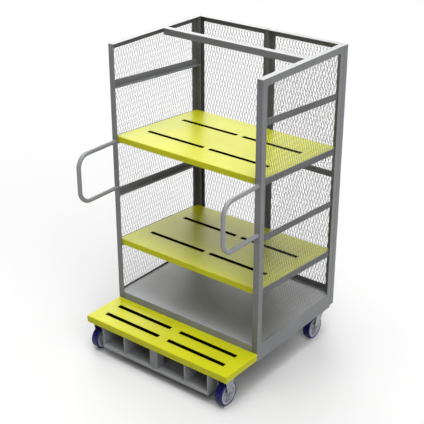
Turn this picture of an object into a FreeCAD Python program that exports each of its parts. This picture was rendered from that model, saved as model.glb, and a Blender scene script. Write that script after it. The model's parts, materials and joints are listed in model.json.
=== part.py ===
import FreeCAD, Part
import math
import os
import re

import Sketcher

# Driving sizes in millimetres, angles in degrees. The front of the trolley faces -Y.
SIZES = {
    # Cage of steel angle
    "cage_width": 1100,
    "cage_top": 1925,
    "side_depth": 805,
    "frame_drop": 13,
    "angle_leg": 40,
    "angle_wall": 4,
    "angle_round": 3,
    # Back half-frames
    "back_split_gap": 5,
    "back_foot_rise": 2,
    "back_rail_drop": 12,
    "back_mid_rail": 1073,
    # Tie bar, measured from the front of the cage
    "tie_inset": 447.5,
    # Expanded-metal panels
    "net_wall": 3,
    "net_lap": 20,
    "net_border": 16,
    "net_cell_width": 120,
    "net_cell_height": 260,
    "net_strand": 10,
    # Ledges and shelves, both falling to the back
    "ledge_tilt": 4,
    "first_ledge_rise": 379,
    "ledge_pitch": 345.5,
    "shelf_side_gap": 1.5,
    "shelf_end_gap": 8,
    "shelf_sheet": 2.5,
    "shelf_round": 4,
    "shelf_strip_margin": 88.5,
    "shelf_strip_gap": 44,
    "shelf_first_row": 204,
    "shelf_row_pitch": 330,
    # Rubber grip strips on shelves and step
    "strip_width": 28,
    "strip_wall": 1.5,
    # Deck and skirts
    "deck_fold": 60,
    "deck_sheet": 3,
    "deck_round": 4,
    "skirt_rise": 10,
    "bearer_width": 50,
    "bearer_height": 84,
    "bearer_wall": 4,
    # Step in front of the cage
    "step_depth": 300,
    "step_sheet": 3,
    "step_round": 5,
    "step_strip_margin": 84,
    "step_strip_gap": 72,
    "step_row_pitch": 114,
    "rail_width": 40,
    "rail_height": 39,
    "rail_edge": 14.5,
    "rail_wall": 3,
    # Base with fork pockets
    "base_bottom": 58,
    "base_lip": 22,
    "base_sheet": 4,
    "base_round": 5,
    "bay_strip": 46,
    "bay_opening": 200,
    "pocket_length": 720,
    "pocket_castor_gap": 27,
    "pocket_width": 168,
    "pocket_wall": 6,
    "centre_post": 60,
    "centre_post_wall": 4,
    # Handles
    "handle_dia": 27,
    "handle_wall": 2.5,
    "handle_reach": 312,
    "handle_low": 1020,
    "handle_high": 1322,
    "handle_bend": 78,
    # Castors
    "castor_height": 198,
    "castor_side_gap": 3,
    "castor_rear_gap": 5,
    "castor_trail": 40,
    "plate_edge": 12.5,
    "plate_wall": 5,
    "plate_round": 8,
    "bolt_pitch_long": 105,
    "bolt_pitch_wide": 75,
    "bolt_dia": 10,
    "bolt_flats": 16,
    "bolt_head": 6,
    "bolt_nut": 8,
    "fork_wall": 4,
    "fork_crown": 7,
    "spanner_gap": 5,
    "fork_shoulder": 12,
    "fork_end": 20,
    "crown_gap": 26,
    "race_height": 10,
    "race_dia": 60,
    "race_lip": 3,
    "kingpin_dia": 16,
    "kingpin_nut_dia": 27,
    "kingpin_nut": 9,
    # Wheels and axles
    "tyre_width": 50,
    "tyre_wall": 9,
    "tyre_bevel": 5,
    "rim_step": 2.5,
    "rim_ring": 11,
    "rim_web": 9,
    "rib_count": 6,
    "rib_wall": 5,
    "rib_recess": 7,
    "hub_wall": 11,
    "hub_stand": 4,
    "hub_gap": 1,
    "axle_dia": 12,
    "axle_flats": 19,
    "axle_head": 8,
    "axle_nut": 10,
    "sleeve_wall": 4,
    # Clearances
    "running_gap": 0.05,
    "bolt_gap": 0.1,
    "seat_gap": 0.3,
}

# What lies on each pair of ledges, from the lowest pair up
LEDGE_LOADS = ("lower_shelf", None, "upper_shelf", None)
SIDES = {"left": -1, "right": 1}

# Main planes and widths, worked out from the driving sizes
HALF = "(cage_width / 2)"
FRONT = "((handle_reach + handle_dia / 2 - side_depth - angle_leg) / 2)"
REAR = f"({FRONT} + side_depth)"
BACK = f"({REAR} + angle_leg)"
STEP_FRONT = f"({FRONT} - step_depth)"
POCKET_END = f"({STEP_FRONT} + pocket_length)"
MESH_INNER = f"({HALF} - angle_wall - net_wall)"

FRAME_BOTTOM = "(castor_height - frame_drop)"
BASE_FLOOR = "(base_bottom + base_lip)"
STEP_UNDER = "(castor_height + rail_height)"
STEP_TOP = f"({STEP_UNDER} + step_sheet)"
DECK_UNDER = "(castor_height + bearer_height)"
DECK_TOP = f"({DECK_UNDER} + deck_sheet)"
BACK_BOTTOM = "(castor_height + back_foot_rise)"
BACK_SPLIT = "(back_split_gap / 2)"
BACK_LOW_RAIL = f"({DECK_TOP} - back_rail_drop)"
TILT_COS = "cos(ledge_tilt * 1 deg)"
TILT_TAN = "tan(ledge_tilt * 1 deg)"
SHELF_HALF = f"({MESH_INNER} - angle_wall - shelf_side_gap)"
SHELF_HEIGHT = "(angle_leg - angle_wall - seat_gap)"

PLATE_LENGTH = "(bolt_pitch_long + 2 * plate_edge)"
PLATE_WIDTH = "(bolt_pitch_wide + 2 * plate_edge)"
PLATE_UNDER = "(castor_height - plate_wall)"
CROWN_TOP = f"({PLATE_UNDER} - race_height)"
WHEEL_DIA = f"({CROWN_TOP} - fork_crown - crown_gap)"
AXLE_HEIGHT = f"({WHEEL_DIA} / 2)"
RIM_RADIUS = f"({AXLE_HEIGHT} - tyre_wall)"
HUB_END = "(tyre_width / 2 + hub_stand)"
FORK_INNER = f"({HUB_END} + hub_gap)"
FORK_OUTER = f"({FORK_INNER} + fork_wall)"
SLEEVE_RADIUS = "(axle_dia / 2 + sleeve_wall)"

CASTOR_X = f"({HALF} - angle_wall - castor_side_gap - {PLATE_WIDTH} / 2)"
FRONT_AXIS = f"({STEP_FRONT} + step_sheet + rail_edge + bolt_pitch_long / 2)"
REAR_AXIS = f"({REAR} - angle_wall - castor_rear_gap - {PLATE_LENGTH} / 2)"
REAR_AXLE = f"({REAR_AXIS} - castor_trail)"
MIDDLE_RAIL = f"({FRONT_AXIS} + bolt_pitch_long / 2 - rail_edge)"
POCKET_OUTER = f"({CASTOR_X} - {PLATE_WIDTH} / 2 - pocket_castor_gap - pocket_wall)"
POCKET_INNER = f"({POCKET_OUTER} - pocket_width - pocket_wall)"

PLANES = {"x": "YZ_Plane", "y": "XZ_Plane", "z": "XY_Plane"}

doc = FreeCAD.newDocument("order_picking_trolley")
sheet = doc.addObject("Spreadsheet::Sheet", "Sizes")
for row, (name, value) in enumerate(SIZES.items(), start=1):
    sheet.set(f"A{row}", name)
    sheet.set(f"B{row}", str(value))
    sheet.setAlias(f"B{row}", name)
doc.recompute()

sub_parts = []


def bound(expression):
    """The expression with every size name pointing at its cell."""
    return re.sub(r"[a-z]\w*", lambda m: f"Sizes.{m[0]}" if m[0] in SIZES else m[0], expression)


def number(expression):
    """The present value of an expression in the named sizes."""
    return float(sheet.evalExpression(bound(expression)))


def tie(thing, **paths):
    """Bind properties to expressions; a double underscore stands for a dot."""
    for path, expression in paths.items():
        thing.setExpression(path.replace("__", "."), bound(expression))


def put(thing, x="0", y="0", z="0"):
    tie(thing, Placement__Base__x=x, Placement__Base__y=y, Placement__Base__z=z)


def span(sign, low, high):
    """A stretch given on the right-hand side, mirrored for the left."""
    return (low, high) if sign > 0 else (f"-({high})", f"-({low})")


def hold(sketch, geometry, point, u, v=None):
    """Tie one point of a sketch to its place from the sketch origin."""
    for kind, place in (("DistanceX", u), ("DistanceY", v)):
        if place is not None:
            rule = Sketcher.Constraint(kind, -1, 1, geometry, point, number(place))
            sketch.setExpression(f"Constraints[{sketch.addConstraint(rule)}]", bound(place))


def vector(u, v):
    return FreeCAD.Vector(number(u), number(v), 0)


def polygon(*corners):
    """A closed outline of straight lines."""
    def draw(sketch):
        first = sketch.GeometryCount
        count = len(corners)
        for index, corner in enumerate(corners):
            after = corners[(index + 1) % count]
            sketch.addGeometry(Part.LineSegment(vector(*corner), vector(*after)))
        for index, corner in enumerate(corners):
            after = first + (index + 1) % count
            sketch.addConstraint(Sketcher.Constraint("Coincident", first + index, 2, after, 1))
            hold(sketch, first + index, 1, *corner)
    return draw


def rectangle(u_low, u_high, v_low, v_high):
    return polygon((u_low, v_low), (u_high, v_low), (u_high, v_high), (u_low, v_high))


def circle(u, v, radius):
    def draw(sketch):
        normal = FreeCAD.Vector(0, 0, 1)
        index = sketch.addGeometry(Part.Circle(vector(u, v), normal, number(radius)))
        hold(sketch, index, 3, u, v)
        size = sketch.addConstraint(Sketcher.Constraint("Radius", index, number(radius)))
        sketch.setExpression(f"Constraints[{size}]", bound(radius))
    return draw


def arc_between(sketch, centre, start, end, before, after):
    """A counter-clockwise arc from the end of one line to the start of another."""
    middle = vector(*centre)
    first = vector(*start) - middle
    last = vector(*end) - middle
    ring = Part.Circle(middle, FreeCAD.Vector(0, 0, 1), first.Length)
    arc = Part.ArcOfCircle(ring, math.atan2(first.y, first.x), math.atan2(last.y, last.x))
    index = sketch.addGeometry(arc)
    sketch.addConstraint(Sketcher.Constraint("Coincident", index, 1, *before))
    sketch.addConstraint(Sketcher.Constraint("Coincident", index, 2, *after))
    return index


def angle_section(u, v, u_sign, v_sign):
    """An equal angle with its heel at (u, v)."""
    u_leg, u_wall = (f"{u} + {u_sign} * angle_{part}" for part in ("leg", "wall"))
    v_leg, v_wall = (f"{v} + {v_sign} * angle_{part}" for part in ("leg", "wall"))
    return polygon((u, v), (u_leg, v), (u_leg, v_wall), (u_wall, v_wall), (u_wall, v_leg), (u, v_leg))


def hexagon(flats):
    """A hexagon about the sketch origin, given across its flats."""
    corner = f"({flats} / sqrt(3))"
    half = f"{flats} / 2"
    upper = ((corner, "0"), (f"{corner} / 2", half), (f"-{corner} / 2", half))
    lower = ((f"-{corner}", "0"), (f"-{corner} / 2", f"-{half}"), (f"{corner} / 2", f"-{half}"))
    return polygon(*upper, *lower)


def new_body(label):
    body = doc.addObject("PartDesign::Body", label)
    body.Label = label
    return body


def keep(thing):
    sub_parts.append(thing)
    return thing


def new_sketch(body, axis, offset, outlines):
    sketch = body.newObject("Sketcher::SketchObject", f"{body.Name}_sketch")
    plane = next(part for part in body.Origin.OriginFeatures if part.Role == PLANES[axis])
    sketch.AttachmentSupport = [(plane, "")]
    sketch.MapMode = "FlatFace"
    tie(sketch, AttachmentOffset__Base__z=offset)
    for outline in outlines:
        outline(sketch)
    return sketch


def pad(body, axis, low, high, *outlines):
    """Extrude outlines along an axis from low to high. The XZ plane faces -Y."""
    offset = f"-({high})" if axis == "y" else low
    sketch = new_sketch(body, axis, offset, outlines)
    feature = body.newObject("PartDesign::Pad", f"{body.Name}_pad")
    feature.Profile = sketch
    tie(feature, Length=f"({high}) - ({low})")
    doc.recompute()
    return feature


def cut(body, axis, low, high, *outlines):
    """Cut outlines out of a body between low and high along an axis."""
    before = body.Shape.Volume
    offset = f"-({low})" if axis == "y" else high
    sketch = new_sketch(body, axis, offset, outlines)
    feature = body.newObject("PartDesign::Pocket", f"{body.Name}_pocket")
    feature.Profile = sketch
    tie(feature, Length=f"({high}) - ({low})")
    doc.recompute()
    if not body.Shape.Volume < before:
        raise RuntimeError(f"{body.Label}: a pocket cuts nothing")
    return feature


def revolve(body, *outlines):
    """Turn outlines, drawn as (X, Z), about the body's X axis."""
    sketch = new_sketch(body, "y", "0", outlines)
    feature = body.newObject("PartDesign::Revolution", f"{body.Name}_turned")
    feature.Profile = sketch
    feature.ReferenceAxis = (sketch, ["H_Axis"])
    feature.Angle = 360
    doc.recompute()
    return feature


def on_place(edge, places):
    for axis, place in places.items():
        value = number(place)
        if any(abs(getattr(vertex.Point, axis) - value) > edge.Tolerance for vertex in edge.Vertexes):
            return False
    return True


def round_edges(body, radius, *places):
    """Round each edge that lies wholly on one of the places, such as {"x": ..., "z": ...}."""
    base = body.Tip
    names = []
    for index, edge in enumerate(base.Shape.Edges, start=1):
        if any(on_place(edge, place) for place in places):
            names.append(f"Edge{index}")
    feature = body.newObject("PartDesign::Fillet", f"{body.Name}_round")
    feature.Base = (base, names)
    tie(feature, Radius=radius)
    doc.recompute()
    return feature


def block(label, x, y, z):
    """A plain flat piece, given by its limits along each axis."""
    plate = doc.addObject("Part::Box", label)
    plate.Label = label
    sizes = (f"({high}) - ({low})" for low, high in (x, y, z))
    tie(plate, **dict(zip(("Length", "Width", "Height"), sizes)))
    put(plate, x[0], y[0], z[0])
    return plate


def group(label, members):
    """Several separate solids that make one node."""
    compound = doc.addObject("Part::Compound", label)
    compound.Label = label
    compound.Links = members
    return compound


def bar(label, axis, low, high, section):
    body = new_body(label)
    pad(body, axis, low, high, section)
    return body


# Side frames

def side_post(side, sign, where, y, y_sign):
    """An upright angle, its heel outward, ending under the top rail."""
    heel = f"{sign} * {HALF}"
    section = angle_section(heel, y, -sign, y_sign)
    post = bar(f"{side}_{where}_post", "z", FRAME_BOTTOM, "cage_top - angle_wall", section)
    round_edges(post, "angle_round", {"x": heel, "y": y})
    return post


def top_rail(side, sign):
    """An angle over both posts, its hanging flange coped to run between them."""
    rail = new_body(f"{side}_top_rail")
    flange = span(sign, f"{HALF} - angle_leg", HALF)
    web = span(sign, f"{HALF} - angle_wall", HALF)
    pad(rail, "y", FRONT, REAR, rectangle(*flange, "cage_top - angle_wall", "cage_top"))
    web_section = rectangle(*web, "cage_top - angle_leg", "cage_top - angle_wall")
    pad(rail, "y", f"{FRONT} + angle_leg", f"{REAR} - angle_leg", web_section)
    round_edges(rail, "angle_round", {"x": f"{sign} * {HALF}", "z": "cage_top"})
    return rail


def ledge_top(level):
    """Height of a ledge's upper edge at its front end."""
    return f"({DECK_TOP} + first_ledge_rise + {level} * ledge_pitch)"


def ledge(side, sign, level):
    """A sloping angle with its upright flange against the mesh and plumb-cut ends."""
    body = new_body(f"{side}_ledge_{level + 1}")
    start = f"({FRONT} + angle_wall)"
    end = f"({REAR} - angle_wall)"
    low = f"({ledge_top(level)} - angle_leg / {TILT_COS})"
    fall = f"({end} - {start}) * {TILT_TAN}"

    def sloping(height):
        rise = f"({height} / {TILT_COS})"
        back = f"{low} - {fall}"
        return polygon((start, low), (end, back), (end, f"{back} + {rise}"), (start, f"{low} + {rise}"))

    pad(body, "x", *span(sign, f"{MESH_INNER} - angle_wall", MESH_INNER), sloping("angle_leg"))
    pad(body, "x", *span(sign, f"{MESH_INNER} - angle_leg", MESH_INNER), sloping("angle_wall"))
    return body


def skirt(side, sign):
    x = span(sign, f"{HALF} - angle_wall", HALF)
    y = (f"{FRONT} + angle_leg", f"{REAR} - angle_leg")
    return block(f"{side}_skirt", x, y, (FRAME_BOTTOM, f"{DECK_TOP} + skirt_rise"))


for side, sign in SIDES.items():
    keep(side_post(side, sign, "front", FRONT, 1))
    keep(side_post(side, sign, "rear", REAR, -1))
    keep(top_rail(side, sign))
keep(group("side_skirts", [skirt(side, sign) for side, sign in SIDES.items()]))

for level, load in enumerate(LEDGE_LOADS):
    pair = [ledge(side, sign, level) for side, sign in SIDES.items()]
    keep(group(f"ledge_pair_{level + 1}", pair))


# Tie bar across the open top

def tie_bar():
    front = f"({FRONT} + tie_inset)"
    reach = f"({HALF} - angle_leg)"
    body = bar("top_tie_bar", "x", f"-{reach}", reach, angle_section(front, "cage_top", 1, -1))
    round_edges(body, "angle_round", {"y": front, "z": "cage_top"})
    return body


keep(tie_bar())


# Back half-frames

def stile(name, x, x_sign):
    section = angle_section(x, BACK, x_sign, -1)
    body = bar(name, "z", BACK_BOTTOM, "cage_top - angle_wall", section)
    round_edges(body, "angle_round", {"x": x, "y": BACK})
    return body


def between_stiles(sign):
    return span(sign, f"{BACK_SPLIT} + angle_leg", f"{HALF} - angle_leg")


def back_top_rail(side, sign):
    rail = new_body(f"back_{side}_top_rail")
    flange = rectangle(REAR, BACK, "cage_top - angle_wall", "cage_top")
    pad(rail, "x", *span(sign, BACK_SPLIT, HALF), flange)
    web = rectangle(f"{BACK} - angle_wall", BACK, "cage_top - angle_leg", "cage_top - angle_wall")
    pad(rail, "x", *between_stiles(sign), web)
    round_edges(rail, "angle_round", {"y": BACK, "z": "cage_top"})
    return rail


def back_mid_rail(side, sign):
    """A flat bar behind the mesh, between the stiles' flanges."""
    height = ("back_mid_rail", "back_mid_rail + angle_leg")
    return block(f"back_{side}_mid_rail", between_stiles(sign), (f"{BACK} - angle_wall", BACK), height)


def back_low_rail(side, sign):
    """An angle whose lower flange closes the mesh below."""
    rail = new_body(f"back_{side}_low_rail")
    flange = rectangle(REAR, BACK, BACK_LOW_RAIL, f"{BACK_LOW_RAIL} + angle_wall")
    pad(rail, "x", *between_stiles(sign), flange)
    web = rectangle(f"{BACK} - angle_wall", BACK, BACK_LOW_RAIL, f"{BACK_LOW_RAIL} + angle_leg")
    pad(rail, "x", *between_stiles(sign), web)
    return rail


for side, sign in SIDES.items():
    keep(stile(f"back_{side}_outer_stile", f"{sign} * {HALF}", -sign))
    keep(stile(f"back_{side}_inner_stile", f"{sign} * {BACK_SPLIT}", sign))
    keep(back_top_rail(side, sign))
keep(group("back_mid_rails", [back_mid_rail(side, sign) for side, sign in SIDES.items()]))
keep(group("back_low_rails", [back_low_rail(side, sign) for side, sign in SIDES.items()]))


# Expanded-metal panels: one holed face each, diamonds standing on their points

def gap_corners(column, row, columns, rows):
    """Ways from a gap's middle to its corners; on the mesh's edge only the inner part is open."""
    ways = []
    for across, up in ((-1, 0), (0, -1), (1, 0), (0, 1)):
        if 0 <= column + across <= columns and 0 <= row + up <= rows:
            ways.append((across, up))
    return ways if len(ways) > 2 else ways + [(0, 0)]


def net(label, width, height, place, thickness):
    """A panel width by height in half-cell steps; place turns panel coordinates into space."""
    border = number("net_border")
    strand = number("net_strand")
    columns = 2 * round((width - 2 * border) / number("net_cell_width"))
    rows = 2 * round((height - 2 * border) / number("net_cell_height"))
    step_across = (width - 2 * border) / columns
    step_up = (height - 2 * border) / rows
    slant = math.hypot(step_across, step_up)
    half_width = step_across - strand / 2 * slant / step_up
    half_height = step_up - strand / 2 * slant / step_across
    outer = [place(0, 0), place(width, 0), place(width, height), place(0, height)]
    wires = [Part.makePolygon(outer + outer[:1])]
    for row in range(rows + 1):
        for column in range(row % 2, columns + 1, 2):
            u = border + column * step_across
            v = border + row * step_up
            ways = gap_corners(column, row, columns, rows)
            corners = [place(u + across * half_width, v + up * half_height) for across, up in ways]
            wires.append(Part.makePolygon(corners + corners[:1]))
    panel = doc.addObject("Part::Feature", label)
    panel.Label = label
    panel.Shape = Part.Face(wires, "Part::FaceMakerBullseye").extrude(thickness)
    return panel


def side_net(side, sign):
    """Between the posts, against their outer flanges; its foot is held between skirt and deck."""
    x = number(f"{sign} * ({HALF} - angle_wall)")
    y = number(f"{FRONT} + angle_wall")
    z = number(f"{DECK_TOP} - net_lap")
    width = number("side_depth - 2 * angle_wall")
    height = number("cage_top - angle_wall") - z

    def place(u, v):
        return FreeCAD.Vector(x, y + u, z + v)

    inward = FreeCAD.Vector(-sign * number("net_wall"), 0, 0)
    return net(f"{side}_net", width, height, place, inward)


def back_net(side, sign):
    """Between the stiles of one back half-frame, against their rear flanges."""
    x = number(f"{BACK_SPLIT} + angle_wall")
    y = number(f"{BACK} - angle_wall")
    z = number(f"{BACK_LOW_RAIL} + angle_wall")
    width = number(f"{HALF} - {BACK_SPLIT} - 2 * angle_wall")
    height = number("cage_top - angle_wall") - z

    def place(u, v):
        return FreeCAD.Vector(sign * (x + u), y, z + v)

    inward = FreeCAD.Vector(0, -number("net_wall"), 0)
    return net(f"back_{side}_net", width, height, place, inward)


for side, sign in SIDES.items():
    keep(side_net(side, sign))
    keep(back_net(side, sign))


# Rubber strips that keep crates and feet from slipping

def grip_strips(tray, gap, end, rows, seat):
    """Two strips in each row, bonded to the top of a tray; end is their reach from the middle."""
    strips = []
    for where, row in zip(("front", "rear"), rows):
        y = (f"{row} - strip_width / 2", f"{row} + strip_width / 2")
        for side, sign in SIDES.items():
            x = span(sign, f"{gap} / 2", end)
            label = f"{tray}_{where}_{side}_strip"
            strips.append(block(label, x, y, (seat, f"{seat} + strip_wall")))
    return group(f"{tray}_strips", strips)


# Shelves: folded trays lying loose in the ledges

def lay_on_ledges(thing, level):
    """Tilt a piece drawn flat and set it down on a pair of ledges."""
    thing.Placement.Rotation = FreeCAD.Rotation(FreeCAD.Vector(-1, 0, 0), number("ledge_tilt"))
    tie(thing, Placement__Rotation__Angle="ledge_tilt")
    seat = f"{ledge_top(level)} - (angle_leg - angle_wall) / {TILT_COS} - shelf_end_gap * {TILT_TAN}"
    put(thing, y=f"{FRONT} + angle_wall + shelf_end_gap", z=f"{seat} + seat_gap")


def shelf(label, level):
    body = new_body(label)
    length = "(side_depth - 2 * angle_wall - 2 * shelf_end_gap)"
    pad(body, "z", "0", SHELF_HEIGHT, rectangle(f"-{SHELF_HALF}", SHELF_HALF, "0", length))
    sides = [{"x": f"{sign} * {SHELF_HALF}", "z": SHELF_HEIGHT} for sign in SIDES.values()]
    ends = [{"y": end, "z": SHELF_HEIGHT} for end in ("0", length)]
    round_edges(body, "shelf_round", *sides, *ends)
    inner = f"({SHELF_HALF} - shelf_sheet)"
    hollow = rectangle(f"-{inner}", inner, "shelf_sheet", f"{length} - shelf_sheet")
    cut(body, "z", "0", f"{SHELF_HEIGHT} - shelf_sheet", hollow)
    lay_on_ledges(body, level)
    return body


def shelf_strips(label, level):
    rows = ("shelf_first_row", "(shelf_first_row + shelf_row_pitch)")
    end = f"({SHELF_HALF} - shelf_strip_margin)"
    strips = grip_strips(label, "shelf_strip_gap", end, rows, SHELF_HEIGHT)
    lay_on_ledges(strips, level)
    return strips


for level, load in enumerate(LEDGE_LOADS):
    if load:
        keep(shelf(load, level))
        keep(shelf_strips(load, level))


# Places where the castors bolt on from below

def castor_bolt_places(axis_y, rows=(-1, 1)):
    """Bolt centres of a left and a right castor; rows picks the front and back pair of each."""
    places = []
    for sign in SIDES.values():
        for u in (-1, 1):
            x = f"({sign} * {CASTOR_X} + {u} * bolt_pitch_wide / 2)"
            places += [(x, f"({axis_y} + {v} * bolt_pitch_long / 2)") for v in rows]
    return places


def castor_bolt_holes(axis_y, rows=(-1, 1)):
    return [circle(x, y, "bolt_dia / 2 + bolt_gap") for x, y in castor_bolt_places(axis_y, rows)]


# Deck tray and the bearers under it

def deck():
    body = new_body("deck_plate")
    front = f"({FRONT} + angle_wall)"
    rear = f"({REAR} - angle_wall)"
    low = f"({DECK_TOP} - deck_fold)"
    pad(body, "z", low, DECK_TOP, rectangle(f"-{MESH_INNER}", MESH_INNER, front, rear))
    round_edges(body, "deck_round", {"y": front, "z": DECK_TOP}, {"y": rear, "z": DECK_TOP})
    inner = f"({MESH_INNER} - deck_sheet)"
    hollow = rectangle(f"-{inner}", inner, f"{front} + deck_sheet", f"{rear} - deck_sheet")
    cut(body, "z", low, DECK_UNDER, hollow)
    return body


def bearer(label, y_low, y_high):
    """A channel, web down, from the castors' level up to the deck sheet."""
    half = f"({MESH_INNER} - deck_sheet)"
    low = "castor_height"
    inner_low = f"{y_low} + bearer_wall"
    inner_high = f"{y_high} - bearer_wall"
    web_top = f"{low} + bearer_wall"
    outline = polygon(
        (y_low, low), (y_high, low), (y_high, DECK_UNDER), (inner_high, DECK_UNDER),
        (inner_high, web_top), (inner_low, web_top), (inner_low, DECK_UNDER), (y_low, DECK_UNDER))
    return bar(label, "x", f"-{half}", half, outline)


def deck_bearers():
    """Behind the riser, over the ends of the fork pockets, and over the rear castors."""
    start = f"({FRONT} + angle_wall + deck_sheet)"
    front = bearer("front_bearer", start, f"({start} + bearer_width)")
    middle = bearer("middle_bearer", f"({POCKET_END} - bearer_width)", POCKET_END)
    rear = bearer("rear_bearer", f"({REAR_AXIS} - {PLATE_LENGTH} / 2)", f"({REAR_AXIS} + {PLATE_LENGTH} / 2)")
    cut(rear, "z", "castor_height", "castor_height + bearer_wall", *castor_bolt_holes(REAR_AXIS))
    return group("deck_bearers", [front, middle, rear])


keep(deck())
keep(deck_bearers())


# Step tread and its rails

def step_tread():
    body = new_body("step_tread")
    pad(body, "z", "castor_height", STEP_TOP, rectangle(f"-{HALF}", HALF, STEP_FRONT, FRONT))
    sides = [{"x": f"{sign} * {HALF}", "z": STEP_TOP} for sign in SIDES.values()]
    corners = [{"x": f"{sign} * {HALF}", "y": STEP_FRONT} for sign in SIDES.values()]
    round_edges(body, "step_round", {"y": STEP_FRONT, "z": STEP_TOP}, *sides, *corners)
    inner = f"({HALF} - step_sheet)"
    hollow = rectangle(f"-{inner}", inner, f"{STEP_FRONT} + step_sheet", f"{FRONT} - step_sheet")
    cut(body, "z", "castor_height", STEP_UNDER, hollow)
    return body


def step_strips():
    rows = [f"({STEP_FRONT} + step_depth / 2 + {way} * step_row_pitch / 2)" for way in (-1, 1)]
    return grip_strips("step", "step_strip_gap", f"({HALF} - step_strip_margin)", rows, STEP_TOP)


def step_rail(label, y, bolt_rows=()):
    """A square tube across the underside of the tread, drilled below for the castor bolts."""
    half = f"({HALF} - step_sheet)"
    outer = rectangle(y, f"{y} + rail_width", "castor_height", STEP_UNDER)
    inner = rectangle(f"{y} + rail_wall", f"{y} + rail_width - rail_wall",
                      "castor_height + rail_wall", f"{STEP_UNDER} - rail_wall")
    body = new_body(label)
    pad(body, "x", f"-{half}", half, outer, inner)
    if bolt_rows:
        holes = castor_bolt_holes(FRONT_AXIS, bolt_rows)
        cut(body, "z", "castor_height", "castor_height + rail_wall", *holes)
    return body


def step_rails():
    """The front and middle rails carry the castors' bolt rows."""
    front = step_rail("front_step_rail", f"({STEP_FRONT} + step_sheet)", (-1,))
    middle = step_rail("middle_step_rail", MIDDLE_RAIL, (1,))
    rear = step_rail("rear_step_rail", f"({FRONT} - step_sheet - rail_width)")
    return group("step_rails", [front, middle, rear])


keep(step_tread())
keep(step_strips())
keep(step_rails())


# Base with two fork pockets

def base_tray():
    """One sheet with a turned-down lip; the inner right bay is open behind a strip of floor."""
    body = new_body("base_tray")
    plan = rectangle(f"-{POCKET_OUTER}", POCKET_OUTER, STEP_FRONT, POCKET_END)
    strip_end = f"({STEP_FRONT} + bay_strip)"
    opening = rectangle("centre_post / 2", POCKET_INNER, strip_end, f"{strip_end} + bay_opening")
    pad(body, "z", f"{BASE_FLOOR} - base_sheet", BASE_FLOOR, plan, opening)
    lip = rectangle(f"-{POCKET_OUTER}", POCKET_OUTER, STEP_FRONT, f"{STEP_FRONT} + base_sheet")
    pad(body, "z", "base_bottom", f"{BASE_FLOOR} - base_sheet", lip)
    round_edges(body, "base_round", {"y": STEP_FRONT, "z": BASE_FLOOR})
    return body


def pocket_walls(where, x, low):
    """A left and a right wall from the given height up to the step rails and bearers."""
    walls = []
    for side, sign in SIDES.items():
        limits = span(sign, x, f"{x} + pocket_wall")
        label = f"{side}_{where}_pocket_wall"
        walls.append(block(label, limits, (STEP_FRONT, POCKET_END), (low, "castor_height")))
    return group(f"{where}_pocket_walls", walls)


def base_post():
    """A square tube that carries the middle of the step."""
    half = "(centre_post / 2)"
    inner = f"({half} - centre_post_wall)"
    body = new_body("base_centre_post")
    outer_section = rectangle(f"-{half}", half, STEP_FRONT, f"{STEP_FRONT} + centre_post")
    bore = rectangle(f"-{inner}", inner, f"{STEP_FRONT} + centre_post_wall",
                     f"{STEP_FRONT} + centre_post - centre_post_wall")
    pad(body, "z", BASE_FLOOR, "castor_height", outer_section, bore)
    return body


keep(base_tray())
keep(base_post())
keep(pocket_walls("outer", POCKET_OUTER, "base_bottom"))
keep(pocket_walls("inner", POCKET_INNER, BASE_FLOOR))


# Handles: one bent tube on each front post

def handle(side, sign):
    body = new_body(f"{side}_handle")
    reach = "-handle_reach"
    near = "(handle_bend - handle_reach)"
    low_turn = "(handle_low + handle_bend)"
    high_turn = "(handle_high - handle_bend)"
    path = new_sketch(body, "x", "0", ())
    runs = (
        ((near, "handle_low"), ("0", "handle_low")),
        (("0", "handle_high"), (near, "handle_high")),
        ((reach, high_turn), (reach, low_turn)))
    for start, end in runs:
        line = path.addGeometry(Part.LineSegment(vector(*start), vector(*end)))
        hold(path, line, 1, *start)
        hold(path, line, 2, *end)
    low_bend = arc_between(path, (near, low_turn), runs[2][1], runs[0][0], (2, 2), (0, 1))
    high_bend = arc_between(path, (near, high_turn), runs[1][1], runs[2][0], (1, 2), (2, 1))
    hold(path, low_bend, 3, near)
    hold(path, high_bend, 3, near)
    outer = circle("0", "handle_low", "handle_dia / 2")
    bore = circle("0", "handle_low", "handle_dia / 2 - handle_wall")
    section = new_sketch(body, "y", "0", (outer, bore))
    tube = body.newObject("PartDesign::AdditivePipe", f"{side}_handle_tube")
    tube.Profile = section
    tube.Spine = (path, [])
    put(body, x=f"{sign} * ({HALF} - angle_leg / 2)", y=FRONT)
    doc.recompute()
    return body


for side, sign in SIDES.items():
    keep(handle(side, sign))


# Castors

def bolt_circles(radius):
    x = "bolt_pitch_wide / 2"
    y = "bolt_pitch_long / 2"
    return [circle(f"{u} * {x}", f"{v} * {y}", radius) for u in (-1, 1) for v in (-1, 1)]


def mounting_plate(body, *more_holes):
    """A bolted plate with round corners, centred on the body's own axis."""
    half_x = f"({PLATE_WIDTH} / 2)"
    half_y = f"({PLATE_LENGTH} / 2)"
    pad(body, "z", PLATE_UNDER, "castor_height", rectangle(f"-{half_x}", half_x, f"-{half_y}", half_y))
    corners = [{"x": f"{u} * {half_x}", "y": f"{v} * {half_y}"} for u in (-1, 1) for v in (-1, 1)]
    round_edges(body, "plate_round", *corners)
    cut(body, "z", PLATE_UNDER, "castor_height", *bolt_circles("bolt_dia / 2 + bolt_gap"), *more_holes)


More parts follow.
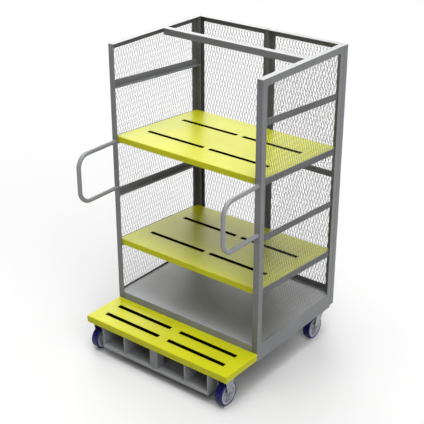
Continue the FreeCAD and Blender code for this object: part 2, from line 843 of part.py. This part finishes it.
def fork_legs(body, axle_y, top, gap_top):
    """Two tapering legs from a shoulder at the top to a round end at the axle."""
    half = "(bolt_pitch_long / 2 - bolt_flats / sqrt(3) - spanner_gap)"
    shoulder = f"({top} - fork_shoulder)"
    low_front = f"({axle_y} - fork_end)"
    low_rear = f"({axle_y} + fork_end)"
    side_view = polygon(
        (f"-{half}", top), (f"-{half}", shoulder), (low_front, AXLE_HEIGHT),
        (low_rear, AXLE_HEIGHT), (half, shoulder), (half, top))
    pad(body, "x", f"-{FORK_OUTER}", FORK_OUTER, side_view)
    pad(body, "x", f"-{FORK_OUTER}", FORK_OUTER, circle(axle_y, AXLE_HEIGHT, "fork_end"))
    gap = rectangle(f"-{WHEEL_DIA}", WHEEL_DIA, "0", gap_top)
    cut(body, "x", f"-{FORK_INNER}", FORK_INNER, gap)
    bore = circle(axle_y, AXLE_HEIGHT, "axle_dia / 2 + bolt_gap")
    cut(body, "x", f"-{FORK_OUTER}", FORK_OUTER, bore)


def fixed_bracket(side, sign, y):
    """Plate and legs of a fixed castor, pressed from one sheet."""
    body = new_body(f"front_{side}_bracket")
    mounting_plate(body)
    fork_legs(body, "0", PLATE_UNDER, PLATE_UNDER)
    put(body, x=f"{sign} * {CASTOR_X}", y=y)
    return body


def swivel_plate(side, sign):
    body = new_body(f"rear_{side}_plate")
    mounting_plate(body, circle("0", "0", "kingpin_dia / 2 + bolt_gap"))
    put(body, x=f"{sign} * {CASTOR_X}", y=REAR_AXIS)
    return body


def swivel_fork(side, sign):
    """A crown under the ball race and two legs raked forward to the axle."""
    body = new_body(f"rear_{side}_fork")
    crown_under = f"({CROWN_TOP} - fork_crown)"
    fork_legs(body, "-castor_trail", CROWN_TOP, crown_under)
    cut(body, "z", crown_under, CROWN_TOP, circle("0", "0", "kingpin_dia / 2 + running_gap"))
    put(body, x=f"{sign} * {CASTOR_X}", y=REAR_AXIS)
    return body


def swivel_bearing(side, sign):
    """Kingpin with its nut, and the ball race between plate and crown."""
    nut_top = f"({CROWN_TOP} - fork_crown - seat_gap)"
    pin = new_body(f"rear_{side}_kingpin")
    pad(pin, "z", f"{nut_top} - kingpin_nut", nut_top, circle("0", "0", "kingpin_nut_dia / 2"))
    pad(pin, "z", nut_top, "castor_height", circle("0", "0", "kingpin_dia / 2"))
    race = new_body(f"rear_{side}_race")
    low = f"({CROWN_TOP} + seat_gap)"
    bore = circle("0", "0", "kingpin_dia / 2 + seat_gap")
    pad(race, "z", low, f"{low} + race_height / 2", circle("0", "0", "race_dia / 2 - race_lip"), bore)
    pad(race, "z", f"{low} + race_height / 2", PLATE_UNDER, circle("0", "0", "race_dia / 2"), bore)
    for body in (pin, race):
        put(body, x=f"{sign} * {CASTOR_X}", y=REAR_AXIS)
    return group(f"rear_{side}_swivel_bearing", [pin, race])


def place_on_axle(body, sign, y):
    put(body, x=f"{sign} * {CASTOR_X}", y=y, z=AXLE_HEIGHT)


def axle_set(corner, sign, y):
    """Bolt with its head outward, spacer sleeve between the legs, nut inward."""
    bore = circle("0", "0", "axle_dia / 2 + bolt_gap")
    bolt = new_body(f"{corner}_axle_bolt")
    pad(bolt, "x", *span(sign, FORK_OUTER, f"{FORK_OUTER} + axle_head"), hexagon("axle_flats"))
    shank = span(sign, f"-{FORK_OUTER} - axle_nut", FORK_OUTER)
    pad(bolt, "x", *shank, circle("0", "0", "axle_dia / 2"))
    nut = new_body(f"{corner}_axle_nut")
    pad(nut, "x", *span(-sign, FORK_OUTER, f"{FORK_OUTER} + axle_nut"), hexagon("axle_flats"), bore)
    sleeve = new_body(f"{corner}_axle_sleeve")
    pad(sleeve, "x", f"-{FORK_INNER}", FORK_INNER, circle("0", "0", SLEEVE_RADIUS), bore)
    for body in (bolt, nut, sleeve):
        place_on_axle(body, sign, y)
    return group(f"{corner}_axle", [bolt, nut, sleeve])


def rim(corner, sign, y):
    """Moulded wheel centre: hub, thin web with ribs on both faces, and ring."""
    body = new_body(f"{corner}_rim")
    web = "rim_web / 2"
    edge = "(tyre_width / 2 - rim_step)"
    bore = f"({SLEEVE_RADIUS} + running_gap)"
    hub = f"({SLEEVE_RADIUS} + hub_wall)"
    ring = f"({RIM_RADIUS} - rim_ring)"
    right = ((HUB_END, bore), (HUB_END, hub), (web, hub), (web, ring), (edge, ring), (edge, RIM_RADIUS))
    left = [(f"-{u}", v) for u, v in reversed(right)]
    revolve(body, polygon(*right, *left))
    rib_half = f"({edge} - rib_recess)"
    root = "rib_wall / 2"
    rib = rectangle(f"-{root}", root, f"{hub} - {root}", f"{ring} + {root}")
    feature = pad(body, "x", f"-{rib_half}", rib_half, rib)
    ribs = body.newObject("PartDesign::PolarPattern", f"{corner}_ribs")
    ribs.Originals = [feature]
    ribs.Axis = (feature.Profile[0], ["N_Axis"])
    ribs.Angle = 360
    tie(ribs, Occurrences="rib_count")
    body.Tip = ribs
    place_on_axle(body, sign, y)
    doc.recompute()
    return body


def tyre(corner, sign, y):
    """A cast tread with bevelled shoulders."""
    body = new_body(f"{corner}_tyre")
    half = "(tyre_width / 2)"
    seat = f"({RIM_RADIUS} + running_gap)"
    shoulder = f"({AXLE_HEIGHT} - tyre_bevel)"
    right = ((half, seat), (half, shoulder), (f"({half} - tyre_bevel)", AXLE_HEIGHT))
    left = [(f"-{u}", v) for u, v in reversed(right)]
    revolve(body, polygon(*right, *left))
    place_on_axle(body, sign, y)
    return body


for side, sign in SIDES.items():
    keep(fixed_bracket(side, sign, FRONT_AXIS))
    keep(swivel_plate(side, sign))
    keep(swivel_fork(side, sign))
    keep(swivel_bearing(side, sign))
    for corner, y in ((f"front_{side}", FRONT_AXIS), (f"rear_{side}", REAR_AXLE)):
        keep(axle_set(corner, sign, y))
        keep(rim(corner, sign, y))
        keep(tyre(corner, sign, y))


def mounting_bolt(x, y, seat):
    """Hexagon bolt from below through plate and seat, with its nut on top."""
    plate = number(PLATE_UNDER)
    seat_top = number(f"castor_height + {seat}")
    head = number("bolt_head")
    nut = number("bolt_nut")
    corner = number("bolt_flats / sqrt(3)")

    def hexagon_prism(low, height):
        turns = [math.radians(60 * index) for index in range(7)]
        points = [FreeCAD.Vector(x + corner * math.cos(t), y + corner * math.sin(t), low) for t in turns]
        return Part.Face(Part.makePolygon(points)).extrude(FreeCAD.Vector(0, 0, height))

    shank_foot = FreeCAD.Vector(x, y, plate)
    shank = Part.makeCylinder(number("bolt_dia / 2"), seat_top + nut - plate, shank_foot)
    bolt = hexagon_prism(plate - head, head).fuse([shank, hexagon_prism(seat_top, nut)])
    return bolt.removeSplitter().Solids[0]


def mounting_bolts():
    bolts = []
    for axis_y, seat in ((FRONT_AXIS, "rail_wall"), (REAR_AXIS, "bearer_wall")):
        for x, y in castor_bolt_places(axis_y):
            bolts.append(mounting_bolt(number(x), number(y), seat))
    bolt_set = doc.addObject("Part::Feature", "castor_bolts")
    bolt_set.Label = "castor_bolts"
    bolt_set.Shape = Part.makeCompound(bolts)
    return bolt_set


keep(mounting_bolts())

doc.recompute()
for thing in doc.Objects:
    if {"Invalid", "Error"} & set(thing.State):
        raise RuntimeError(f"{thing.Label}: {thing.State}")
for piece in sub_parts:
    if piece.Shape.isNull() or not piece.Shape.isValid():
        raise RuntimeError(f"{piece.Label}: no valid shape")

os.makedirs("parts", exist_ok=True)
for piece in sub_parts:
    piece.Shape.exportStep(f"parts/{piece.Label}.step")
print(len(sub_parts), "sub-parts")
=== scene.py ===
import json
import math

import bmesh
import bpy
from mathutils import Matrix, Vector


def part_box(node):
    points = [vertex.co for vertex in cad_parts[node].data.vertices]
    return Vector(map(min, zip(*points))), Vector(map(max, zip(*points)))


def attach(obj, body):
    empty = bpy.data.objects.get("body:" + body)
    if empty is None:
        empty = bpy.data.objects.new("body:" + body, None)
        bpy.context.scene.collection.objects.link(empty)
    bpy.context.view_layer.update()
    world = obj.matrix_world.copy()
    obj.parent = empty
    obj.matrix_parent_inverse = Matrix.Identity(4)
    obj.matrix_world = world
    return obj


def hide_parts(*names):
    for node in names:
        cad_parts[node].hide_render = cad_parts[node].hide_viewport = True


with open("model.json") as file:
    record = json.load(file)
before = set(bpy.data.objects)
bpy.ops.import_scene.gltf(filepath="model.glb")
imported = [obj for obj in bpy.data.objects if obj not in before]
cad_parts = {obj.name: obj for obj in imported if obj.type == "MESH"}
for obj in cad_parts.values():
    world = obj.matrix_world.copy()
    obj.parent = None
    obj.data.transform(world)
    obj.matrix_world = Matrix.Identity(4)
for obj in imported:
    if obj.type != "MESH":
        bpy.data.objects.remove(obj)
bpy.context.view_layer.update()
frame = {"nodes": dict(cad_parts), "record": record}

MM = 0.001
SIDES = {"left": -1, "right": 1}


# Finishes

# Real sizes of the patterns in the finishes.
COAT_DRIFT = 260 * MM   # slow change of tone across a sprayed panel
ORANGE_PEEL = 2.2 * MM  # one ripple of the baked powder
PEEL_DEPTH = 0.2 * MM
TYRE_HAZE = 14 * MM     # scuffs left on a tyre by rolling
NYLON_CLOUD = 30 * MM   # flow marks from the mould
NYLON_GRAIN = 0.8 * MM  # skin of the eroded mould, drawn coarser than it is so that it shows
GRAIN_DEPTH = 0.1 * MM
RUBBER_BLOOM = 25 * MM  # faint bloom on the rubber
RUBBER_RIB = 4 * MM     # from one moulded rib to the next
RIB_DEPTH = 0.5 * MM
ZINC_CLOUD = 9 * MM     # clouds left by the plating bath

# Most of a noise's values lie in this range, so it is what a drift of colour is spread over.
DRIFT_LOW, DRIFT_HIGH = 0.3, 0.7
# How far the orange peel moves a coat's roughness either way.
PEEL_GLOSS = 0.05
# A wave texture of scale 1 turns through this many radians in a metre.
WAVE_RADIANS = 20


def linear(hex_colour):
    """An sRGB hex colour as linear RGBA."""
    channels = [int(hex_colour[i:i + 2], 16) / 255 for i in (1, 3, 5)]
    return [c / 12.92 if c <= 0.04045 else ((c + 0.055) / 1.055) ** 2.4 for c in channels] + [1.0]


def add(tree, kind, sockets=None, **settings):
    """One shader node; a socket takes a value, or a link from another node's output."""
    node = tree.nodes.new(kind)
    for name, value in settings.items():
        setattr(node, name, value)
    for name, value in (sockets or {}).items():
        if isinstance(value, bpy.types.NodeSocket):
            tree.links.new(value, node.inputs[name])
        else:
            node.inputs[name].default_value = value
    return node


def new_material(name):
    """A material with an empty tree, and the Object coordinates that its patterns read."""
    material = bpy.data.materials.new(name)
    material.use_nodes = True
    tree = material.node_tree
    tree.nodes.clear()
    place = add(tree, "ShaderNodeTexCoord").outputs["Object"]
    return material, tree, place


def tone(tree, factor, low, high):
    """A colour that drifts between two hex colours."""
    spread = add(tree, "ShaderNodeMapRange", {
        "Value": factor, "From Min": DRIFT_LOW, "From Max": DRIFT_HIGH})
    ramp = add(tree, "ShaderNodeValToRGB", {"Fac": spread.outputs["Result"]})
    for stop, colour in zip(ramp.color_ramp.elements, (low, high)):
        stop.color = linear(colour)
    return ramp.outputs["Color"]


def powder_coat(name, low, high, roughness, specular=0.5):
    """Baked polyester powder: an even tone with a faint drift, and a shallow orange peel."""
    material, tree, place = new_material(name)
    drift = add(tree, "ShaderNodeTexNoise", {
        "Vector": place, "Scale": 1 / COAT_DRIFT, "Detail": 2.0})
    peel = add(tree, "ShaderNodeTexNoise", {
        "Vector": place, "Scale": 1 / ORANGE_PEEL, "Detail": 1.0})
    gloss = add(tree, "ShaderNodeMapRange", {
        "Value": peel.outputs["Fac"],
        "To Min": roughness - PEEL_GLOSS, "To Max": roughness + PEEL_GLOSS})
    bump = add(tree, "ShaderNodeBump", {
        "Height": peel.outputs["Fac"], "Strength": 0.05, "Distance": PEEL_DEPTH})
    shader = add(tree, "ShaderNodeBsdfPrincipled", {
        "Base Color": tone(tree, drift.outputs["Fac"], low, high),
        "Roughness": gloss.outputs["Result"], "IOR": 1.5,
        "Specular IOR Level": specular, "Normal": bump.outputs["Normal"]})
    add(tree, "ShaderNodeOutputMaterial", {"Surface": shader.outputs["BSDF"]})
    return material


def polyurethane(name, low, high):
    """Cast polyurethane: deep even blue, smooth with a slight haze from rolling."""
    material, tree, place = new_material(name)
    haze = add(tree, "ShaderNodeTexNoise", {
        "Vector": place, "Scale": 1 / TYRE_HAZE, "Detail": 4.0})
    gloss = add(tree, "ShaderNodeMapRange", {
        "Value": haze.outputs["Fac"], "To Min": 0.32, "To Max": 0.48})
    shader = add(tree, "ShaderNodeBsdfPrincipled", {
        "Base Color": tone(tree, haze.outputs["Fac"], low, high),
        "Roughness": gloss.outputs["Result"], "IOR": 1.5, "Specular IOR Level": 0.25})
    add(tree, "ShaderNodeOutputMaterial", {"Surface": shader.outputs["BSDF"]})
    return material


def moulded_nylon(name, low, high):
    """Injection-moulded polyamide: pale, dull, with a fine eroded grain."""
    material, tree, place = new_material(name)
    cloud = add(tree, "ShaderNodeTexNoise", {
        "Vector": place, "Scale": 1 / NYLON_CLOUD, "Detail": 2.0})
    grain = add(tree, "ShaderNodeTexNoise", {
        "Vector": place, "Scale": 1 / NYLON_GRAIN, "Detail": 1.0})
    bump = add(tree, "ShaderNodeBump", {
        "Height": grain.outputs["Fac"], "Strength": 0.08, "Distance": GRAIN_DEPTH})
    shader = add(tree, "ShaderNodeBsdfPrincipled", {
        "Base Color": tone(tree, cloud.outputs["Fac"], low, high),
        "Roughness": 0.5, "IOR": 1.53, "Normal": bump.outputs["Normal"]})
    add(tree, "ShaderNodeOutputMaterial", {"Surface": shader.outputs["BSDF"]})
    return material


def grip_rubber(name, low, high):
    """Black nitrile strip: dead matt, with fine moulded ribs along its length."""
    material, tree, place = new_material(name)
    bloom = add(tree, "ShaderNodeTexNoise", {
        "Vector": place, "Scale": 1 / RUBBER_BLOOM, "Detail": 4.0})
    ribs = add(tree, "ShaderNodeTexWave", {
        "Vector": place, "Scale": 2 * math.pi / (WAVE_RADIANS * RUBBER_RIB),
        "Distortion": 0.0}, bands_direction="Y")
    bump = add(tree, "ShaderNodeBump", {
        "Height": ribs.outputs["Fac"], "Strength": 0.6, "Distance": RIB_DEPTH})
    shader = add(tree, "ShaderNodeBsdfPrincipled", {
        "Base Color": tone(tree, bloom.outputs["Fac"], low, high),
        "Roughness": 0.85, "IOR": 1.5, "Specular IOR Level": 0.0,
        "Normal": bump.outputs["Normal"]})
    add(tree, "ShaderNodeOutputMaterial", {"Surface": shader.outputs["BSDF"]})
    return material


def zinc_plate(name, low, high):
    """Bright zinc on pressed steel: soft metallic with faint clouds left by the bath."""
    material, tree, place = new_material(name)
    cloud = add(tree, "ShaderNodeTexNoise", {
        "Vector": place, "Scale": 1 / ZINC_CLOUD, "Detail": 3.0})
    gloss = add(tree, "ShaderNodeMapRange", {
        "Value": cloud.outputs["Fac"], "To Min": 0.30, "To Max": 0.46})
    shader = add(tree, "ShaderNodeBsdfPrincipled", {
        "Base Color": tone(tree, cloud.outputs["Fac"], low, high),
        "Roughness": gloss.outputs["Result"], "Metallic": 0.85})
    add(tree, "ShaderNodeOutputMaterial", {"Surface": shader.outputs["BSDF"]})
    return material


MATERIALS = {
    "grey_coat": powder_coat("grey_powder_coat", "#5b5c5d", "#626364", roughness=0.37),
    "mesh_coat": powder_coat("mesh_powder_coat", "#464748", "#4e4f50", roughness=0.42),
    "handle_coat": powder_coat("handle_powder_coat", "#6a6b6d", "#727375", roughness=0.22),
    "yellow_coat": powder_coat(
        "yellow_powder_coat", "#9c9d12", "#a4a516", roughness=0.36, specular=0.12),
    "black_rubber": grip_rubber("black_grip_rubber", "#020202", "#050505"),
    "blue_tyre": polyurethane("blue_polyurethane", "#090944", "#0d0d4c"),
    "wheel_centre": moulded_nylon("wheel_centre_nylon", "#8d8d95", "#9999a0"),
    "castor_zinc": zinc_plate("castor_zinc_plate", "#8b8c92", "#a0a1a6"),
    "zinc_fastener": zinc_plate("fastener_zinc_plate", "#98999e", "#b0b1b5"),
}

# The base's tray and walls take a lighter grey than the cage. It is a lit copy of the same paint,
# which paints fill light into the shaded pockets.
BASE_COAT_PAINTED_FILL = powder_coat("base_coat_painted_fill", "#727374", "#7a7b7c", roughness=0.40)
# The deck takes a paler, duller copy of the grey paint. Its paleness is painted light for the
# deck in the shelves' shade, and its dullness is a rougher, less glossy finish.
DECK_COAT_PAINTED_LIGHT = powder_coat(
    "deck_coat_painted_light", "#77787a", "#808183", roughness=0.48, specular=0.35)
COATS = dict.fromkeys(("base_tray", "inner_pocket_walls", "outer_pocket_walls"), BASE_COAT_PAINTED_FILL)
COATS["deck_plate"] = DECK_COAT_PAINTED_LIGHT

for part in frame["record"]["subparts"]:
    node = frame["nodes"][part["node"]]
    node.data.materials.clear()
    node.data.materials.append(COATS.get(part["node"], MATERIALS[part["material_slot"]]))


# New objects

def put(name, data):
    """An object in the scene, at the origin."""
    thing = bpy.data.objects.new(name, data)
    bpy.context.scene.collection.objects.link(thing)
    return thing


def finished_mesh(name, shape, material):
    """A bmesh made a mesh, with its one material."""
    mesh = bpy.data.meshes.new(name)
    shape.to_mesh(mesh)
    shape.free()
    mesh.materials.append(material)
    return mesh


def piece(name, shape, slot, body, replaces=(), coat=None):
    """A piece that rides a body and takes a slot's finish, or a coat of its own."""
    thing = put(name, finished_mesh(name, shape, coat or MATERIALS[slot]))
    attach(thing, body)
    if replaces:
        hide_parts(*replaces)


def verts_of(geom):
    return [part for part in geom if isinstance(part, bmesh.types.BMVert)]


def everything(shape):
    return shape.verts[:] + shape.edges[:] + shape.faces[:]


# Expanded metal, in place of the coarse nets

# One diamond of the mesh, and the strands round it.
MESH_WIDTH = 21.7 * MM
MESH_HEIGHT = 72 * MM
MESH_STRAND = 3.0 * MM
MESH_SHEET = 0.35 * MM
MESH_TWIST = 1.3 * MM
# Corners of neighbouring diamonds that are closer than this become one.
MERGE = 0.02 * MM
DIAMOND = ((-1, 0), (0, -1), (1, 0), (0, 1))


def diamond_cell(shape, u, v, twist):
    """One open diamond; its side corners lean out of the sheet as the strands twist."""
    half_width, half_height = MESH_WIDTH / 2, MESH_HEIGHT / 2
    face = shape.faces.new([
        shape.verts.new((u + a * half_width, v + b * half_height, 0)) for a, b in DIAMOND])
    face.normal_update()
    bmesh.ops.inset_individual(
        shape, faces=[face], thickness=MESH_STRAND / 2, use_even_offset=True)
    inner = sorted(face.verts, key=lambda vert: vert.co.x)
    inner[0].co.z -= twist
    inner[-1].co.z += twist
    bmesh.ops.delete(shape, geom=[face], context="FACES_ONLY")


def repeat(shape, step, reach):
    """Double the shape along a step until it passes the reach."""
    moved = Vector(step)
    while moved.length < 2 * reach:
        copy = bmesh.ops.duplicate(shape, geom=everything(shape))["geom"]
        bmesh.ops.translate(shape, verts=verts_of(copy), vec=moved)
        moved = moved * 2


def expanded_sheet(width, height, twist):
    """A rectangle of expanded metal in the XY plane, its lower left corner at the origin."""
    shape = bmesh.new()
    diamond_cell(shape, 0, 0, twist)
    diamond_cell(shape, MESH_WIDTH / 2, MESH_HEIGHT / 2, twist)
    repeat(shape, (MESH_WIDTH, 0, 0), width)
    repeat(shape, (0, MESH_HEIGHT, 0), height)
    for point, normal in (((width, 0, 0), (1, 0, 0)), ((0, height, 0), (0, 1, 0)),
                          ((0, 0, 0), (-1, 0, 0)), ((0, 0, 0), (0, -1, 0))):
        bmesh.ops.bisect_plane(
            shape, geom=everything(shape), plane_co=point, plane_no=normal, clear_outer=True)
    bmesh.ops.remove_doubles(shape, verts=shape.verts[:], dist=MERGE)
    thick = bmesh.ops.extrude_face_region(shape, geom=shape.faces[:], use_keep_orig=True)["geom"]
    bmesh.ops.translate(shape, verts=verts_of(thick), vec=(0, 0, MESH_SHEET))
    bmesh.ops.recalc_face_normals(shape, faces=shape.faces[:])
    return shape


def mesh_panel(label, twist):
    """The panel that stands where a coarse net stands in the frame."""
    low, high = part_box(f"{label}_net")
    size = high - low
    upright = Vector((0, 0, 1))
    along = Vector((1, 0, 0)) if size.x > size.y else Vector((0, 1, 0))
    across = along.cross(upright)
    width = size.dot(along)
    shape = expanded_sheet(width, size.z, twist)
    depth = sum((vert.co.z for vert in shape.verts), 0.0) / len(shape.verts)
    middle = (low + high) / 2
    corner = middle - along * width / 2 - upright * size.z / 2 - across * depth
    turn = Matrix((along, upright, across)).transposed().to_4x4()
    bmesh.ops.transform(shape, matrix=Matrix.Translation(corner) @ turn, verts=shape.verts[:])
    piece(f"{label}_mesh", shape, "mesh_coat", "cart", [f"{label}_net"])


for side in SIDES:
    mesh_panel(side, MESH_TWIST)
    mesh_panel(f"back_{side}", -MESH_TWIST)


# Weld beads, coated over with the frame

BEAD_RADIUS = 2.4 * MM
BEAD_SIDES = 8
BEAD_STEP = 1.6 * MM    # from one ring of a bead to the next
BEAD_RIPPLE = 0.12      # how far a ring swells or shrinks against the one before it
BEAD_END = 0.55         # share to which the first and the last ring are drawn in
STITCH = 45 * MM
STITCH_PITCH = 170 * MM
# The steel that is welded.
TUBE_RADIUS = 27 / 2 * MM
ANGLE_LEG = 40 * MM
ANGLE_WALL = 4 * MM
LEDGE_TILT = math.radians(4)
LEDGE_LEVELS = (1, 2, 3, 4)


def bead_profile(shape, turn, middle):
    """The round section of a bead and its edges, facing along Z before it is turned."""
    place = Matrix.Translation(middle) @ turn
    ring = bmesh.ops.create_circle(
        shape, segments=BEAD_SIDES, radius=BEAD_RADIUS, matrix=place)["verts"]
    return ring, list(dict.fromkeys(edge for vert in ring for edge in vert.link_edges))


def swell(ring, step, steps):
    """Shrink and swell the rings of a bead in turn, as the weld pool froze in ripples.

    A ring is grown from the one before it, so the sizes multiply: a straight bead has about
    half the radius of its profile, and tapers towards its end.
    """
    middle = sum((vert.co for vert in ring), Vector()) / len(ring)
    size = BEAD_END if step in (0, steps) else 1 + BEAD_RIPPLE * (-1) ** step
    for vert in ring:
        vert.co = middle + (vert.co - middle) * size


def weld_ring(shape, middle, radius):
    """A smooth bead round the foot of a tube that stands on an upright face."""
    steps = 2 * round(math.pi * radius / BEAD_STEP)
    ring, edges = bead_profile(shape, Matrix.Identity(4), middle + Vector((radius, 0, 0)))
    bmesh.ops.spin(shape, geom=ring + edges, cent=middle, axis=(0, 1, 0), angle=2 * math.pi,
                   steps=steps, use_merge=True)


def weld_line(shape, start, end):
    """A straight bead from start to end, in an even number of steps."""
    run = Vector(end) - Vector(start)
    steps = 2 * max(2, round(run.length / BEAD_STEP / 2))
    turn = run.to_track_quat("Z", "Y").to_matrix().to_4x4()
    ring, edges = bead_profile(shape, turn, Vector(start))
    bmesh.ops.contextual_create(shape, geom=edges)
    swell(ring, 0, steps)
    for step in range(1, steps + 1):
        grown = bmesh.ops.extrude_edge_only(shape, edges=edges)["geom"]
        ring = verts_of(grown)
        edges = [part for part in grown if isinstance(part, bmesh.types.BMEdge)
                 and all(vert in ring for vert in part.verts)]
        bmesh.ops.translate(shape, verts=ring, vec=run / steps)
        swell(ring, step, steps)
    bmesh.ops.contextual_create(shape, geom=edges)


def stitch_welds(shape, x, z, low_y, high_y):
    """Short beads at even spacing along the foot of a wall."""
    count = max(1, round((high_y - low_y) / STITCH_PITCH))
    for index in range(count):
        y = low_y + (high_y - low_y) * (index + 0.5) / count
        weld_line(shape, (x, y - STITCH / 2, z), (x, y + STITCH / 2, z))


def handle_welds(shape):
    """A ring round both feet of each handle, sunk into the tube by two thirds of its radius."""
    for side in SIDES:
        low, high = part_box(f"{side}_handle")
        for z in (low.z + TUBE_RADIUS, high.z - TUBE_RADIUS):
            foot = Vector(((low.x + high.x) / 2, high.y, z))
            weld_ring(shape, foot, TUBE_RADIUS + BEAD_RADIUS / 3)


def ledge_welds(shape, pair):
    """A bead under each end of a ledge's flange, against the post."""
    low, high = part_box(pair)
    front_foot = high.z - ANGLE_LEG / math.cos(LEDGE_TILT)
    for sign in SIDES.values():
        outer = sign * (high.x - ANGLE_WALL)
        inner = sign * (high.x - ANGLE_LEG + 2 * ANGLE_WALL)
        for y, z in ((low.y, front_foot), (high.y, low.z)):
            weld_line(shape, (inner, y, z), (outer, y, z))


def tie_bar_welds(shape):
    """A bead under each end of the bar across the top."""
    low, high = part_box("top_tie_bar")
    under = high.z - ANGLE_WALL
    for x in (low.x, high.x):
        weld_line(shape, (x, low.y + ANGLE_WALL, under), (x, high.y, under))


def base_welds(shape):
    """Stitches along the feet of the fork pockets' walls, and a bead each side of the post."""
    low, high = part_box("inner_pocket_walls")
    _, tray_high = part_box("base_tray")
    post_low, post_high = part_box("base_centre_post")
    for sign in SIDES.values():
        stitch_welds(shape, sign * high.x, low.z, low.y, high.y)
        stitch_welds(shape, sign * tray_high.x, low.z, low.y, high.y)
        weld_line(shape, (sign * post_high.x, post_low.y + ANGLE_WALL, low.z),
                  (sign * post_high.x, post_high.y - ANGLE_WALL, low.z))


def finish_welds(name, shape, coat=None):
    bmesh.ops.recalc_face_normals(shape, faces=shape.faces[:])
    for face in shape.faces:
        face.smooth = True
    piece(name, shape, "grey_coat", "cart", coat=coat)


frame_welds = bmesh.new()
handle_welds(frame_welds)
tie_bar_welds(frame_welds)
for level in LEDGE_LEVELS:
    ledge_welds(frame_welds, f"ledge_pair_{level}")
finish_welds("frame_welds", frame_welds)

pocket_welds = bmesh.new()
base_welds(pocket_welds)
# The pocket welds take the base's lighter coat, and with it its painted fill light.
finish_welds("pocket_welds", pocket_welds, BASE_COAT_PAINTED_FILL)


# Stage, light and camera, with angles in degrees and lengths in metres

FLOOR_SIZE = 240.0
# The photographed view, from the aim point out to the camera.
CAMERA_AZIMUTH = 38.04
CAMERA_ELEVATION = 25.66
CAMERA_DISTANCE = 6.2486
CAMERA_AIM = Vector((-0.049, 0.0744, 0.8674))
CAMERA_REACH = 100
# In millimetres, as Blender's camera takes them.
CAMERA_LENS = 85.84
CAMERA_SENSOR = 36


def outwards(azimuth, elevation):
    """A direction away from the object; azimuth turns from the front towards the right."""
    turn, rise = math.radians(azimuth), math.radians(elevation)
    flat = math.cos(rise)
    return Vector((math.sin(turn) * flat, -math.cos(turn) * flat, math.sin(rise)))


def look_inwards(thing, away):
    thing.rotation_euler = (-away).to_track_quat("-Z", "Y").to_euler()


def floor():
    """Matt studio floor: pale and even, with no gloss."""
    shape = bmesh.new()
    bmesh.ops.create_grid(shape, x_segments=1, y_segments=1, size=FLOOR_SIZE / 2)
    material, tree, _ = new_material("pale_floor")
    shader = add(tree, "ShaderNodeBsdfPrincipled", {
        "Base Color": linear("#b1b1b1"), "Roughness": 0.9, "Specular IOR Level": 0.0})
    add(tree, "ShaderNodeOutputMaterial", {"Surface": shader.outputs["BSDF"]})
    thing = put("floor", finished_mesh("floor", shape, material))


def sun(name, azimuth, elevation, spread, strength):
    """A far soft light."""
    data = bpy.data.lights.new(name, "SUN")
    data.angle = math.radians(spread)
    data.energy = strength
    look_inwards(put(name, data), outwards(azimuth, elevation))


def sky(zenith, zenith_fall, horizon, horizon_fall):
    """A studio dome: a broad soft light overhead, and a pale haze along the horizon."""
    world = bpy.data.worlds.new("studio")
    world.use_nodes = True
    tree = world.node_tree
    tree.nodes.clear()
    direction = add(tree, "ShaderNodeTexCoord").outputs["Generated"]
    height = add(tree, "ShaderNodeSeparateXYZ", {"Vector": direction}).outputs["Z"]
    above = add(tree, "ShaderNodeClamp", {"Value": height}).outputs["Result"]
    overhead = add(tree, "ShaderNodeMath", {0: above, 1: zenith_fall}, operation="POWER")
    depth = add(tree, "ShaderNodeMath", {0: 1.0, 1: above}, operation="SUBTRACT")
    haze = add(tree, "ShaderNodeMath", {
        0: depth.outputs["Value"], 1: horizon_fall}, operation="POWER")
    low = add(tree, "ShaderNodeMath", {
        0: haze.outputs["Value"], 1: horizon}, operation="MULTIPLY")
    level = add(tree, "ShaderNodeMath", {
        0: overhead.outputs["Value"], 1: zenith, 2: low.outputs["Value"]},
        operation="MULTIPLY_ADD")
    light = add(tree, "ShaderNodeBackground", {
        "Color": linear("#ffffff"), "Strength": level.outputs["Value"]})
    add(tree, "ShaderNodeOutputWorld", {"Surface": light.outputs["Background"]})
    bpy.context.scene.world = world


def camera():
    data = bpy.data.cameras.new("photo_camera")
    data.lens = CAMERA_LENS
    data.sensor_width = CAMERA_SENSOR
    data.clip_end = CAMERA_REACH
    thing = put("photo_camera", data)
    away = outwards(CAMERA_AZIMUTH, CAMERA_ELEVATION)
    thing.location = CAMERA_AIM + away * CAMERA_DISTANCE
    look_inwards(thing, away)
    bpy.context.scene.camera = thing


floor()
sky(zenith=17.0, zenith_fall=20, horizon=1.0, horizon_fall=14)
sun("left_back_light", azimuth=-138, elevation=27, spread=36, strength=1.75)
sun("right_low_fill", azimuth=82, elevation=13, spread=45, strength=1.2)
sun("right_front_key", azimuth=55, elevation=45, spread=50, strength=1.7)
camera()
bpy.context.scene.view_settings.view_transform = "Standard"
